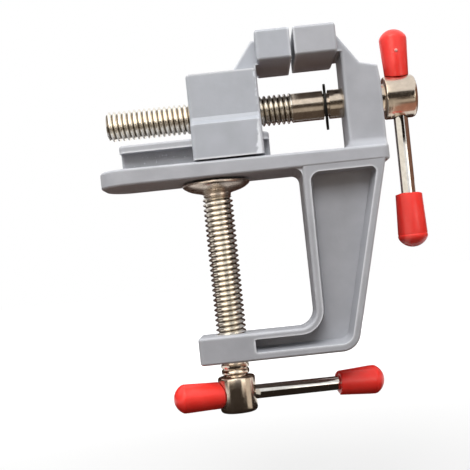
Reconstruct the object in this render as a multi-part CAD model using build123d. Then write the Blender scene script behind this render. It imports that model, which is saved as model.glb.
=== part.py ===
from build123d import *
import math
import os

# Small bench vise that clamps on a table edge. X runs along the main screw towards its
# handle, Z is up and Y runs across the jaws. The origin is on the clamp screw's axis, at
# the underside of the base plate, where the table top sits. Sizes are in millimetres.

# Running clearances
slide_gap = 0.2          # moving jaw on its rail, on each flat side
thread_gap = 0.1         # threaded rod in its hole, on the radius
shank_gap = 0.1          # plain shank in the fixed jaw, on the radius
bar_gap = 0.3            # loose cross bar in a screw head, on the radius
seat_gap = 0.2           # cap against the screw head at the end of the bar's travel
swivel_gap = 0.05        # clamp pad on its swivel neck

# Base plate of the casting
plate_reach = 35.6       # from the clamp screw's axis to the free tip
plate_back = 54.2        # from the clamp screw's axis to the handle end
plate_width = 25.0
plate_tip_thickness = 5.4
plate_back_thickness = 4.6
plate_tip_radius = 9.0
plate_back_radius = 3.0
plate_edge_radius = 0.9

# T-shaped rail that the moving jaw rides on
rail_inset = 7.2         # from the plate's tip to the rail
rail_length = 46.5
rail_height = 12.9       # top of the rail above the plate's underside
rail_lip_thickness = 2.4
rail_lip_width = 17.0
rail_stem_width = 9.0
rail_tip_radius = 1.2    # lip's corners seen from above, at the plate's tip
rail_end_radius = 2.2    # the same at the fixed jaw's end
rail_stem_radius = 0.8
rail_edge_radius = 0.8

# Jaws, fixed and moving
jaw_width = 25.0
jaw_top = 43.1
jaw_gap = 1.1            # between the two jaw faces as shown
fixed_face_setback = 25.8    # fixed jaw face, from the plate's handle end
fixed_head_length = 13.0
fixed_head_height = 9.1
moving_head_length = 10.7
moving_head_height = 9.6
jaw_edge_radius = 1.0
jaw_bite_radius = 0.4    # the working edges stay sharper

# Upright of the fixed jaw
upright_thickness = 11.6
upright_width = 16.4
upright_slope_lead = 2.3     # the back starts to slope this far below the jaw's top
upright_slope_run = 6.8
upright_slope_drop = 9.7
upright_shoulder_drop = 1.3
upright_corner_drop = 5.2
upright_corner_run = 0.6
upright_edge_radius = 1.0
upright_back_radius = 0.8
upright_foot_radius = 3.2

# C-shaped clamp leg under the plate
throat_depth = 26.9      # clamp screw's axis to the leg's inner face
throat_height = 48.7     # plate's underside to the top of the lower arm
arm_height = 8.7
leg_back_inset = 1.7     # leg's back ahead of the plate's handle end, where they meet
leg_back_angle = 13.5    # slope of the leg's back face from upright, in degrees
leg_width = 16.0
leg_sink = 0.6           # how far the leg runs up into the plate
leg_inner_radius = 5.2
leg_outer_radius = 6.0
leg_root_radius = 2.5
leg_edge_radius = 0.9
boss_front = 10.3        # boss ahead of the clamp screw's axis
boss_back = 7.3          # boss behind the clamp screw's axis
boss_corner_radius = 1.6
rim_thickness = 2.2
web_thickness = 4.0
pocket_depth = 6.3
pocket_draft = 9.0       # draft of the pocket walls, in degrees
pocket_corner_radius = 1.8
pocket_root_radius = 3.0
pocket_top = 0.3         # pocket's upper wall below the plate's underside
flare_height = 11.0      # the inner rim widens to the plate over this height

# Moving jaw body
jaw_body_length = 21.8
jaw_body_drop = 11.1     # top of the body below the jaw's top
jaw_head_inset = 0.4     # the body stops this far short of its head's back
jaw_body_floor = 5.6     # clear of the plate's top at its thick end
jaw_upper_width = 21.6
jaw_step_height = 16.2   # where the side starts to draw in
jaw_step_rise = 2.4
jaw_step_radius = 1.2
jaw_corner_radius = 1.4
gusset_width = 15.0
gusset_run = 7.5
gusset_drop = 2.1        # top of the gusset below the jaw's top

# Main screw
screw_height = 20.4
thread_diameter = 9.5
thread_pitch = 1.5875
thread_depth = 0.86
thread_root_flat = 0.2
thread_sink = 0.1        # the ridge starts this far inside the core, to join it well
thread_lead_in = 0.9     # bare core at each end of a thread
screw_tip_inset = 3.4    # screw's free tip short of the plate's tip
shank_diameter = 9.1
shank_ahead = 11.1       # plain shank between the thread and the ring
main_head_standoff = 1.5     # head clear of the plate's handle end
main_head_diameter = 13.4
main_head_length = 9.9
main_head_chamfer = 1.4
main_head_edge = 0.5
main_bar_inset = 4.8     # bar's axis behind the head's inner end

# Retaining ring in the shank's groove
ring_standoff = 5.4      # ring's middle ahead of the upright
ring_thickness = 0.8
ring_diameter = 14.4
ring_drop = 0.7          # the ring hangs this much below the screw's axis
ring_rim = 1.7
ring_tab_width = 3.2
ring_turn = 5.0          # the loose ring sits a little skew in its groove, in degrees
ring_bore_gap = 0.1      # ring's tabs to the groove's floor
groove_diameter = 7.2
groove_room = 0.5        # room in the groove on each side of the ring

# Clamp screw and its swivel pad
pad_top = 0.6            # pad below the plate's underside, as shown
pad_diameter = 21.3
pad_rim_height = 0.9
pad_cone_height = 2.4
pad_hub_diameter = 10.0
pad_hub_height = 1.1
pad_recess_diameter = 15.0
pad_recess_floor_diameter = 10.6
pad_recess_depth = 1.8
swivel_neck_diameter = 6.0
swivel_button_diameter = 9.0
swivel_button_height = 1.3
neck_diameter = 8.1
neck_length = 4.2        # plain neck between the arm and the clamp screw's head
undercut_depth = 0.5
undercut_width = 0.5
clamp_head_diameter = 11.8
clamp_head_length = 11.4
clamp_head_top_radius = 0.8
clamp_head_bottom_radius = 1.2
clamp_bar_drop = 5.7     # bar's axis below the top of the clamp screw's head
clamp_bar_yaw = 12.0     # bar's left end towards the viewer, in degrees
clamp_bar_droop = 1.6    # bar's long end hangs in its loose hole, in degrees

# Cross bars and their vinyl caps
bar_diameter = 4.8
bar_length = 62.6
bar_chamfer = 0.4
cap_end_wall = 3.3       # vinyl past the bar's end
upper_cap_length = 14.6
lower_cap_length = 17.1
left_cap_length = 14.3
right_cap_length = 15.6
cap_fit_gap = 0.02
cap_wrap = 0.85          # share of a round head's curve that a seated cap's mouth follows
dome_height = 0.38       # dome's height over the cap's largest diameter
dome_shoulder = 0.6      # dome's shoulder radius over its height
snug_cap_mouth = 7.5
snug_cap_swell = 8.75
full_cap_mouth = 8.4
full_cap_swell = 9.4
left_cap_swell = 9.1
right_cap_mouth = 7.9

# Travel, for the record and for the sizes that depend on it
jaw_travel = 29.0
clamp_travel = 42.0

# Places that follow from the sizes above
plate_length = plate_reach + plate_back
rail_start = rail_inset - plate_reach
rail_end = rail_start + rail_length
fixed_face = plate_back - fixed_face_setback
moving_face = fixed_face - jaw_gap
moving_head_back = moving_face - moving_head_length
jaw_body_end = moving_head_back - jaw_head_inset
jaw_body_start = jaw_body_end - jaw_body_length
jaw_body_top = jaw_top - jaw_body_drop
upright_start = plate_back - upright_thickness
upright_slope_start = jaw_top - upright_slope_lead
ring_place = upright_start - ring_standoff
main_thread_front = screw_tip_inset - plate_reach
main_thread_back = ring_place - shank_ahead
main_head_start = plate_back + main_head_standoff
main_bar_place = main_head_start + main_bar_inset
arm_bottom = -throat_height - arm_height
pad_floor = -pad_top - pad_rim_height - pad_cone_height - pad_hub_height
clamp_neck_end = arm_bottom - neck_length
clamp_head_bottom = clamp_neck_end - undercut_width - clamp_head_length
clamp_bar_height = clamp_neck_end - undercut_width - clamp_bar_drop
pocket_start = boss_back - pocket_depth * math.tan(math.radians(pocket_draft))


def prism_xz(outline, width):
    """A profile drawn in the XZ plane, made solid to equal depths either side of it."""
    return extrude(Plane.XZ * outline, width / 2, both=True)


def box_between(low, high):
    """An upright box from its lowest to its highest corner."""
    size = [b - a for a, b in zip(low, high)]
    middle = [(a + b) / 2 for a, b in zip(low, high)]
    return Pos(*middle) * Box(*size)


def rod_x(diameter, start, end, height):
    """A round bar along X."""
    place = Plane(origin=(start, 0, height), x_dir=(0, 1, 0), z_dir=(1, 0, 0))
    return extrude(place * Circle(diameter / 2), end - start)


def rod_z(diameter, low, high):
    """A round bar along Z, on the clamp screw's axis."""
    return Pos(0, 0, low) * extrude(Circle(diameter / 2), high - low)


def thread(start, end):
    """A threaded rod along Z: a core at the root diameter and one right-hand ridge round it."""
    root = thread_diameter / 2 - thread_depth
    inside = root - thread_sink
    half = (thread_pitch - thread_root_flat) / 2
    helix = Helix(thread_pitch, end - start - 2 * thread_lead_in, inside)
    across = Plane(origin=helix @ 0, x_dir=(1, 0, 0), z_dir=(0, -1, 0))
    ridge = make_face(Polyline((0, -half), (thread_depth + thread_sink, 0), (0, half), close=True))
    wound = sweep(across * ridge, path=helix, is_frenet=True)
    return rod_z(2 * root, start, end) + Pos(0, 0, start + thread_lead_in) * wound


def make_plate():
    """The base plate, a little thicker at its free tip, with a rounded plan."""
    side = Polyline(
        (-plate_reach, 0),
        (plate_back, 0),
        (plate_back, plate_back_thickness),
        (-plate_reach, plate_tip_thickness),
        close=True,
    )
    plate = prism_xz(make_face(side), plate_width)
    upright_edges = plate.edges().filter_by(Axis.Z)
    plate = fillet(upright_edges.group_by(Axis.X)[0], plate_tip_radius)
    upright_edges = plate.edges().filter_by(Axis.Z)
    plate = fillet(upright_edges.group_by(Axis.X)[-1], plate_back_radius)
    rims = plate.edges().filter_by(Plane.XY) + plate.faces().sort_by(Axis.Z)[-1].edges()
    return fillet(rims, plate_edge_radius)


def make_rail():
    """The T-shaped rail: a wide lip on a narrower stem, both with rounded ends."""
    lip_low = rail_height - rail_lip_thickness
    lip = box_between(
        (rail_start, -rail_lip_width / 2, lip_low),
        (rail_end, rail_lip_width / 2, rail_height),
    )
    lip = fillet(lip.edges().filter_by(Axis.Z).group_by(Axis.X)[0], rail_tip_radius)
    lip = fillet(lip.edges().filter_by(Axis.Z).group_by(Axis.X)[-1], rail_end_radius)
    lip = fillet(lip.faces().sort_by(Axis.Z)[-1].edges(), rail_edge_radius)
    stem = box_between(
        (rail_start, -rail_stem_width / 2, plate_back_thickness / 2),
        (rail_end, rail_stem_width / 2, lip_low),
    )
    return lip + fillet(stem.edges().filter_by(Axis.Z), rail_stem_radius)


def make_upright():
    """The fixed jaw's upright, which flares into the plate, and its overhanging head."""
    head_back = fixed_face + fixed_head_length
    slope_end = head_back + upright_slope_run
    slope_low = upright_slope_start - upright_slope_drop
    shoulder = slope_low - upright_shoulder_drop
    head_low = jaw_top - fixed_head_height
    inside_head = head_back - fixed_head_length / 4
    outline = Polyline(
        (upright_start, plate_back_thickness / 2),
        (plate_back, plate_back_thickness / 2),
        (plate_back, shoulder - upright_corner_drop),
        (plate_back - upright_corner_run, shoulder),
        (slope_end, slope_low),
        (head_back, upright_slope_start),
        (inside_head, upright_slope_start),
        (inside_head, head_low + jaw_edge_radius),
        (upright_start, head_low + jaw_edge_radius),
        close=True,
    )
    half = upright_width / 2
    column = prism_xz(make_face(outline), upright_width)
    sides = [e for e in column.edges() if abs(abs(e.center().Y) - half) < 0.01]
    front_edges = [e for e in sides if abs(e.center().X - upright_start) < 0.01]
    column = fillet(front_edges, upright_edge_radius)
    column = column + make_foot_slab()
    joins = [
        e
        for e in column.edges()
        if abs(e.center().Z - plate_surface(e.center().X)) < 0.05
        and abs(e.center().Y) < half + 0.1
        and upright_start - 0.1 < e.center().X < plate_back - 0.1
    ]
    column = fillet(joins, upright_foot_radius)
    back_edges = [
        e
        for e in column.edges().filter_by(GeomType.LINE)
        if abs(abs(e.center().Y) - half) < 0.01
        and e.center().X > head_back + 3
        and e.center().Z > plate_back_thickness + upright_foot_radius + 1
    ]
    column = fillet(back_edges, upright_back_radius)
    column = column & extrude(Plane.XY * plate_plan(), jaw_top)
    head = box_between(
        (fixed_face, -jaw_width / 2, head_low),
        (head_back, jaw_width / 2, jaw_top),
    )
    back_rims = [e for e in head.edges() if e.center().X > fixed_face + 0.01]
    head = fillet(back_rims, jaw_edge_radius)
    head = fillet(head.faces().sort_by(Axis.X)[0].edges(), jaw_bite_radius)
    return column + head


def plate_surface(x):
    """Height of the plate's top at a place along it."""
    slope = (plate_back_thickness - plate_tip_thickness) / plate_length
    return plate_tip_thickness + slope * (x + plate_reach)


def plate_plan():
    """The plate seen from above."""
    plan = Pos((plate_back - plate_reach) / 2, 0) * Rectangle(plate_length, plate_width)
    plan = fillet(plan.vertices().group_by(Axis.X)[0], plate_tip_radius)
    return fillet(plan.vertices().group_by(Axis.X)[-1], plate_back_radius)


def make_foot_slab():
    """The patch of plate around the upright's foot, for the flare to run out on."""
    front = upright_start - upright_foot_radius - 0.5
    side = Polyline(
        (front, 1.0),
        (plate_back, 1.0),
        (plate_back, plate_surface(plate_back)),
        (front, plate_surface(front)),
        close=True,
    )
    return prism_xz(make_face(side), upright_width + 2 * upright_foot_radius + 1.0)


def leg_outline():
    """The side view of the C-shaped leg, its lower arm and its boss."""
    slope = math.tan(math.radians(leg_back_angle))
    leg_back = plate_back - leg_back_inset
    top = leg_sink
    corner = (leg_back + arm_bottom * slope, arm_bottom)
    face = make_face(
        Polyline(
            (throat_depth, top),
            (throat_depth, -throat_height),
            (-boss_front, -throat_height),
            (-boss_front, arm_bottom),
            corner,
            (leg_back + top * slope, top),
            close=True,
        )
    )
    face = fillet(nearest(face, (throat_depth, -throat_height)), leg_inner_radius)
    return fillet(nearest(face, corner), leg_outer_radius)


def nearest(face, point):
    """The corner of a flat face closest to a point in its plane."""
    return face.vertices().sort_by_distance((point[0], point[1], 0))[0]


def pocket_outline():
    """One side pocket of the leg: the leg's outline drawn in by the rim."""
    pocket = offset(leg_outline(), -rim_thickness)
    length = plate_back + boss_back
    depth = throat_height + arm_height
    window = Pos(pocket_start + length / 2, -pocket_top - depth / 2) * Rectangle(length, depth)
    pocket = (pocket & window).faces().sort_by(Axis.Y)[-1]
    pocket = fillet(nearest(pocket, (throat_depth + rim_thickness, -pocket_top)), pocket_root_radius)
    others = [v for v in pocket.vertices() if is_sharp(pocket, v)]
    return fillet(others, pocket_corner_radius)


def is_sharp(face, corner):
    """Whether two straight edges of a flat face meet at this corner."""
    point = Vector(*corner)
    meeting = [
        e
        for e in face.edges()
        if (e.position_at(0) - point).length < 1e-4 or (e.position_at(1) - point).length < 1e-4
    ]
    return all(e.geom_type == GeomType.LINE for e in meeting)


def make_leg():
    """The C-shaped leg: drawn in from the plate's width to the arm's, ribbed by pockets."""
    wide = plate_width / 2 - leg_sink / 4
    narrow = leg_width / 2
    across = make_face(
        Polyline(
            (-wide, leg_sink),
            (-narrow, arm_bottom),
            (narrow, arm_bottom),
            (wide, leg_sink),
            close=True,
        )
    )
    leg = prism_xz(leg_outline(), plate_width + 2)
    leg = leg & extrude(Plane.YZ * across, 2 * plate_back, both=True)
    leg = leg.solids()[0]
    noses = [e for e in leg.edges() if e.center().X < 1 - boss_front and is_upright(e)]
    leg = fillet(noses, boss_corner_radius)
    rims = [
        e
        for e in leg.edges()
        if abs(e.center().Y) > narrow - 2
        and e.center().Z < leg_sink - 0.01
        and not (e.center().X < 3 - boss_front and is_upright(e))
    ]
    leg = fillet(rims, leg_edge_radius)
    pocket = make_pocket()
    return leg - pocket - mirror(pocket, about=Plane.XZ)


def is_upright(edge):
    """Whether an edge is straight and runs nearly straight up."""
    return edge.geom_type == GeomType.LINE and abs(edge.tangent_at(0.5).Z) > 0.99


def make_pocket():
    """The cutter for the near side's pocket, drafted and level with the sloping side."""
    lean = (plate_width - leg_width) / 2
    near_side = Plane(
        origin=(0, -plate_width / 2, 0),
        x_dir=(1, 0, 0),
        z_dir=(0, arm_bottom, -lean),
    )
    outline = near_side * pocket_outline()
    cutter = extrude(outline, -pocket_depth, taper=pocket_draft) + extrude(outline, 5)
    past_boss = box_between(
        (boss_back, -plate_width, arm_bottom),
        (plate_back, 0, plate_back_thickness),
    )
    return cutter & past_boss


def make_root():
    """The rounded corner between the plate's underside and the leg's inner face."""
    reach = throat_depth - leg_root_radius
    corner = make_face(
        Line((throat_depth + 0.5, -leg_root_radius), (throat_depth, -leg_root_radius))
        + RadiusArc((throat_depth, -leg_root_radius), (reach, 0), -leg_root_radius)
        + Polyline(
            (reach, 0),
            (reach, 0.5),
            (throat_depth + 0.5, 0.5),
            (throat_depth + 0.5, -leg_root_radius),
        )
    )
    return prism_xz(corner, plate_width - 2 * plate_edge_radius)


def make_frame_casting():
    """The whole fixed casting, with its two holes for the screws."""
    body = make_plate() + make_rail() + make_upright() + make_leg() + make_root()
    shank_hole = rod_x(shank_diameter + 2 * shank_gap, upright_start - 5, plate_back + 5, screw_height)
    clamp_hole = rod_z(thread_diameter + 2 * thread_gap, arm_bottom - 5, 5 - throat_height)
    return body - shank_hole - clamp_hole


def make_moving_jaw():
    """The sliding jaw: a stepped body on the T rail, a gusset and an overhanging head."""
    wide = jaw_width / 2
    narrow = jaw_upper_width / 2
    step_top = jaw_step_height + jaw_step_rise
    step_in = wide - narrow
    side = make_face(
        Polyline((-wide, jaw_body_floor), (wide, jaw_body_floor), (wide, jaw_step_height))
        + Line((wide, jaw_step_height), (narrow + 0.3 * step_in, step_top - 0.5 * jaw_step_rise))
        + Line((narrow + 0.3 * step_in, step_top - 0.5 * jaw_step_rise), (narrow, step_top))
        + Polyline((narrow, step_top), (narrow, jaw_body_top), (-narrow, jaw_body_top), (-narrow, step_top))
        + Line((-narrow, step_top), (-narrow - 0.3 * step_in, step_top - 0.5 * jaw_step_rise))
        + Line((-narrow - 0.3 * step_in, step_top - 0.5 * jaw_step_rise), (-wide, jaw_step_height))
        + Line((-wide, jaw_step_height), (-wide, jaw_body_floor))
    )
    body = Pos(jaw_body_start, 0, 0) * extrude(Plane.YZ * side, jaw_body_length)
    ends = [e for e in body.edges() if abs(e.tangent_at(0.5).X) < 0.5 and e.center().Z > jaw_body_floor + 0.1]
    body = fillet(ends, jaw_corner_radius - 0.3)
    head_low = jaw_top - moving_head_height
    head = box_between(
        (moving_head_back, -wide, head_low),
        (moving_face, wide, jaw_top),
    )
    head = fillet([e for e in head.edges() if e.center().X < moving_face - 0.01], jaw_edge_radius)
    head = fillet(head.faces().sort_by(Axis.X)[-1].edges(), jaw_bite_radius)
    gusset = make_face(
        Polyline(
            (jaw_body_end - gusset_run, jaw_body_top - 3),
            (jaw_body_end - gusset_run, jaw_body_top),
            (moving_head_back - 1.2, jaw_top - gusset_drop),
            (moving_head_back + 3, jaw_top - gusset_drop),
            (moving_head_back + 3, head_low + 0.01),
            (jaw_body_end, head_low + 0.01),
            (jaw_body_end, jaw_body_top - 3),
            close=True,
        )
    )
    jaw = body + head + prism_xz(gusset, gusset_width)
    jaw = jaw - rail_slot() - rod_x(
        thread_diameter + 2 * thread_gap, jaw_body_start - 5, jaw_body_end + 5, screw_height
    )
    return jaw


def rail_slot():
    """The T slot in the moving jaw, one running clearance larger than the rail."""
    lip_half = rail_lip_width / 2 + slide_gap
    stem_half = rail_stem_width / 2 + slide_gap
    lip_low = rail_height - rail_lip_thickness - slide_gap
    start = jaw_body_start - 5
    end = jaw_body_end + 5
    lip = box_between((start, -lip_half, lip_low), (end, lip_half, rail_height + slide_gap))
    stem = box_between((start, -stem_half, 0), (end, stem_half, lip_low + 1))
    return lip + stem


def make_main_screw():
    """The jaw screw: thread, plain shank with the ring's groove, and drilled head."""
    along_x = Pos(0, 0, screw_height) * Rot(0, 90, 0)
    shank = rod_x(shank_diameter, main_thread_back, main_head_start, screw_height)
    head = rod_x(main_head_diameter, main_head_start, main_head_start + main_head_length, screw_height)
    head = fillet(head.faces().sort_by(Axis.X)[-1].edges(), main_head_chamfer)
    head = fillet(head.faces().sort_by(Axis.X)[0].edges(), main_head_edge)
    groove_half = ring_thickness / 2 + groove_room
    start = ring_place - groove_half
    end = ring_place + groove_half
    groove = rod_x(shank_diameter + 2, start, end, screw_height)
    groove = groove - rod_x(groove_diameter, start - 1, end + 1, screw_height)
    drill = Cylinder(bar_diameter / 2 + bar_gap, 2 * main_head_diameter)
    plain = shank + head - groove - Pos(main_bar_place, 0, screw_height) * drill
    return along_x * thread(main_thread_front, main_thread_back) + plain


def make_ring():
    """The spring ring: an open hoop with three tabs that reach into the groove."""
    middle = screw_height - ring_drop
    start = ring_place - ring_thickness / 2
    end = ring_place + ring_thickness / 2
    outside = rod_x(ring_diameter, start, end, middle)
    hoop = outside - rod_x(ring_diameter - 2 * ring_rim, start - 1, end + 1, middle)
    reach = ring_diameter / 2 - ring_rim / 2
    tab = box_between((start, -ring_tab_width / 2, 0), (end, ring_tab_width / 2, reach))
    mouth = box_between((start - 1, -ring_tab_width, 0), (end + 1, ring_tab_width, ring_diameter))
    place = Pos(0, 0, middle)
    ring = hoop - place * Rot(-90, 0, 0) * mouth
    for angle in (90, -25, -155):
        ring = ring + place * Rot(angle, 0, 0) * tab
    ring = Pos(ring_place, 0, 0) * Rot(0, 0, -ring_turn) * Pos(-ring_place, 0, 0) * ring
    return ring - rod_x(groove_diameter + 2 * ring_bore_gap, start - 1, end + 1, screw_height)


def make_clamp_screw():
    """The clamp screw: riveted swivel button, thread, plain neck and drilled head."""
    recess_floor = -pad_top - pad_recess_depth
    button_low = recess_floor + swivel_gap
    button = rod_z(swivel_button_diameter, button_low, button_low + swivel_button_height)
    button = fillet(button.faces().sort_by(Axis.Z)[-1].edges(), swivel_button_height / 2)
    thread_top = pad_floor - swivel_gap
    swivel = rod_z(swivel_neck_diameter, thread_top - 0.5, button_low + 0.1)
    neck = rod_z(neck_diameter, clamp_neck_end, arm_bottom + 0.1)
    undercut = rod_z(neck_diameter - 2 * undercut_depth, clamp_neck_end - undercut_width, clamp_neck_end)
    head = rod_z(clamp_head_diameter, clamp_head_bottom, clamp_neck_end - undercut_width)
    head = fillet(head.faces().sort_by(Axis.Z)[-1].edges(), clamp_head_top_radius)
    head = fillet(head.faces().sort_by(Axis.Z)[0].edges(), clamp_head_bottom_radius)
    drill = Rot(0, 90, 0) * Cylinder(bar_diameter / 2 + bar_gap, 2 * clamp_head_diameter)
    low_end = neck + undercut + head - clamp_bar_frame(droop=False) * drill
    return thread(arm_bottom, thread_top) + button + swivel + low_end


def clamp_bar_frame(droop=True):
    """Where the clamp bar sits: turned a little, and hanging a little in its hole."""
    hang = clamp_bar_droop if droop else 0
    return Pos(0, 0, clamp_bar_height) * Rot(0, 0, clamp_bar_yaw) * Rot(0, hang, 0)


def make_pad():
    """The swivel pad: rim, cone and hub, with a recess for the riveted button."""
    top = -pad_top
    rim = top - pad_rim_height
    cone = rim - pad_cone_height
    recess = top - pad_recess_depth
    half = make_face(
        Polyline(
            (swivel_neck_diameter / 2 + swivel_gap, recess),
            (pad_recess_floor_diameter / 2, recess),
            (pad_recess_diameter / 2, top),
            (pad_diameter / 2 - 0.2, top),
            (pad_diameter / 2, top - 0.2),
            (pad_diameter / 2, rim),
            (pad_hub_diameter / 2, cone),
            (pad_hub_diameter / 2, pad_floor),
            (swivel_neck_diameter / 2 + swivel_gap, pad_floor),
            close=True,
        )
    )
    return revolve(Plane.XZ * half, Axis.Z)


def make_bar():
    """A cross bar with chamfered ends, lying along X about the origin."""
    bar = rod_x(bar_diameter, -bar_length / 2, bar_length / 2, 0)
    return chamfer(bar.faces().sort_by(Axis.X)[0].edges() + bar.faces().sort_by(Axis.X)[-1].edges(), bar_chamfer)


def make_cap(length, mouth, swell, skirt=0.0):
    """A soft cap for the bar's +X end: it swells from its mouth to its domed end."""
    tip = bar_length / 2 + cap_end_wall
    base = tip - dome_height * swell
    start = tip - length - skirt
    half = make_face(
        Polyline((start, 0), (start, mouth / 2), (base, swell / 2))
        + dome_line(base, tip, swell)
        + Line((tip, 0), (start, 0))
    )
    cap = revolve(Plane.XZ * half, Axis.X)
    pocket = rod_x(bar_diameter + 2 * cap_fit_gap, start - 1, bar_length / 2 + cap_fit_gap, 0)
    return cap - pocket


def dome_line(base, tip, swell):
    """Half of a cap's dome: a tight shoulder arc that runs into a flatter crown arc."""
    height = tip - base
    shoulder = dome_shoulder * height
    inset = swell / 2 - shoulder
    crown = (height**2 + inset**2 - shoulder**2) / (2 * (height - shoulder))
    lean = math.atan2(inset, crown - height)
    middle = (math.pi / 2 + lean) / 2
    meet = (base + shoulder * math.cos(lean), inset + shoulder * math.sin(lean))
    on_shoulder = (base + shoulder * math.cos(middle), inset + shoulder * math.sin(middle))
    on_crown = (tip - crown + crown * math.cos(lean / 2), crown * math.sin(lean / 2))
    return ThreePointArc((base, swell / 2), on_shoulder, meet) + ThreePointArc(meet, on_crown, (tip, 0))


def head_skirt(head, mouth):
    """How far a seated cap's mouth reaches down round the curve of a screw's head."""
    return cap_wrap * (head - math.sqrt(head**2 - mouth**2)) / 2


def main_bar_frame():
    """The main bar stands upright in the screw's head, its upper cap down on the head."""
    mouth = screw_height + main_head_diameter / 2 + seat_gap
    middle = mouth + upper_cap_length - cap_end_wall - bar_length / 2
    return Pos(main_bar_place, 0, middle) * Rot(0, -90, 0)


def clamp_bar_place():
    """The clamp bar lies through the clamp screw's head, its near cap up to the head."""
    mouth = -clamp_head_diameter / 2 - seat_gap
    middle = mouth - left_cap_length + cap_end_wall + bar_length / 2
    return clamp_bar_frame() * Pos(middle, 0, 0)


def make_parts():
    """Every separate piece, in place."""
    turned = Rot(0, 0, 180)
    upper_skirt = head_skirt(main_head_diameter, snug_cap_mouth)
    upper_cap = main_bar_frame() * make_cap(upper_cap_length, snug_cap_mouth, snug_cap_swell, upper_skirt)
    lower_cap = make_cap(lower_cap_length, full_cap_mouth, full_cap_swell)
    left_skirt = head_skirt(clamp_head_diameter, full_cap_mouth)
    left_cap = turned * make_cap(left_cap_length, full_cap_mouth, left_cap_swell, left_skirt)
    right_cap = make_cap(right_cap_length, right_cap_mouth, full_cap_swell)
    main_head_room = rod_x(
        main_head_diameter + 2 * seat_gap, main_head_start, main_head_start + main_head_length, screw_height
    )
    clamp_head_room = rod_z(clamp_head_diameter + 2 * seat_gap, clamp_head_bottom, clamp_neck_end)
    return {
        "frame_casting": make_frame_casting(),
        "moving_jaw": make_moving_jaw(),
        "main_screw": make_main_screw(),
        "retaining_ring": make_ring(),
        "main_handle_bar": main_bar_frame() * make_bar(),
        "main_cap_upper": upper_cap - main_head_room,
        "main_cap_lower": main_bar_frame() * turned * lower_cap,
        "clamp_screw": make_clamp_screw(),
        "clamp_pad": make_pad(),
        "clamp_handle_bar": clamp_bar_place() * make_bar(),
        "clamp_cap_left": clamp_bar_place() * left_cap - clamp_head_room,
        "clamp_cap_right": clamp_bar_place() * right_cap,
    }


os.makedirs("parts", exist_ok=True)
for name, shape in make_parts().items():
    bounds = shape.bounding_box()
    print(name, len(shape.solids()), "solid,", round(shape.volume), "mm3", bounds.min, bounds.max)
    export_step(shape, "parts/" + name + ".step")
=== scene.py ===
import math

import bpy
from mathutils import Matrix, Vector


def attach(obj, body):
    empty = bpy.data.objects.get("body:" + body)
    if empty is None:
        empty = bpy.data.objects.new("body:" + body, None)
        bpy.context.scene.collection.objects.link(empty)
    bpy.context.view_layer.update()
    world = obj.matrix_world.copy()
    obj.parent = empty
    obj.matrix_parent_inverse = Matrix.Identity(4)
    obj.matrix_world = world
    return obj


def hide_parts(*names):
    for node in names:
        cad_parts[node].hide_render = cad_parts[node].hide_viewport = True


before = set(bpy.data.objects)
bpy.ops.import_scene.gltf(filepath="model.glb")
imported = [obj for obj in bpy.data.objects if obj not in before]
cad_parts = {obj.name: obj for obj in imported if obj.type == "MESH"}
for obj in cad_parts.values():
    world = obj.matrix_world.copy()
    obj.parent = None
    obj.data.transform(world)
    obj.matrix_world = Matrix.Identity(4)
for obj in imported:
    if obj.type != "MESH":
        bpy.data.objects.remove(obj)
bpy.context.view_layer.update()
bpy.ops.object.select_all(action="DESELECT")

# Frame casting: base plate, T rail, fixed jaw, C-shaped leg and boss in one piece of die-cast
# aluminium, blasted and sprayed grey, with an orange peel on the flats and the rough skin of the
# rail's stem dented. Its edges carry a painted highlight, and the dents are painted pale as glints.
MM = 0.001
STEM_LOW, STEM_HIGH, STEM_SIDE = 5.0, 10.4, 5.0    # rough skin of the rail's stem, up and across
SKIN_FADE = 0.4
HIGHLIGHT_REACH = 0.9                                   # how far from an edge the painted highlight reaches
BOSS_NOSE = ((-10.4, -12.0, -58.0), (-8.0, 12.0, -48.0), 1.0)    # two corners and a radius


def colour(code):
    """A colour as a painter would write it, turned to the light values a shader wants."""
    parts = [int(code[i:i + 2], 16) / 255 for i in (1, 3, 5)]
    light = [p / 12.92 if p <= 0.04045 else ((p + 0.055) / 1.055) ** 2.4 for p in parts]
    return (*light, 1.0)


def grain(size):
    """A pattern's scale, from its real size in millimetres."""
    return 1 / (size * MM)


def add(tree, kind, links=None, values=None, stops=None, **options):
    """Adds one node to a material: its options, its numbers, its ramp stops and its links."""
    made = tree.nodes.new(kind)
    for name, option in options.items():
        setattr(made, name, option)
    for socket, value in (values or {}).items():
        made.inputs[socket].default_value = value
    if stops:
        points = made.color_ramp.elements
        for place, _ in stops[1:-1]:
            points.new(place)
        for point, (place, shade) in zip(points, stops):
            point.position = place
            point.color = colour(shade) if isinstance(shade, str) else (shade, shade, shade, 1.0)
    for socket, source in (links or {}).items():
        tree.links.new(source, made.inputs[socket])
    return made


def new_material(name, kind="ShaderNodeBsdfPrincipled"):
    """An empty material with its shader and output."""
    made = bpy.data.materials.new(name)
    made.use_nodes = True
    tree = made.node_tree
    tree.nodes.clear()
    shader = add(tree, kind)
    add(tree, "ShaderNodeOutputMaterial", {"Surface": shader.outputs[0]})
    return made, tree, shader


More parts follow.
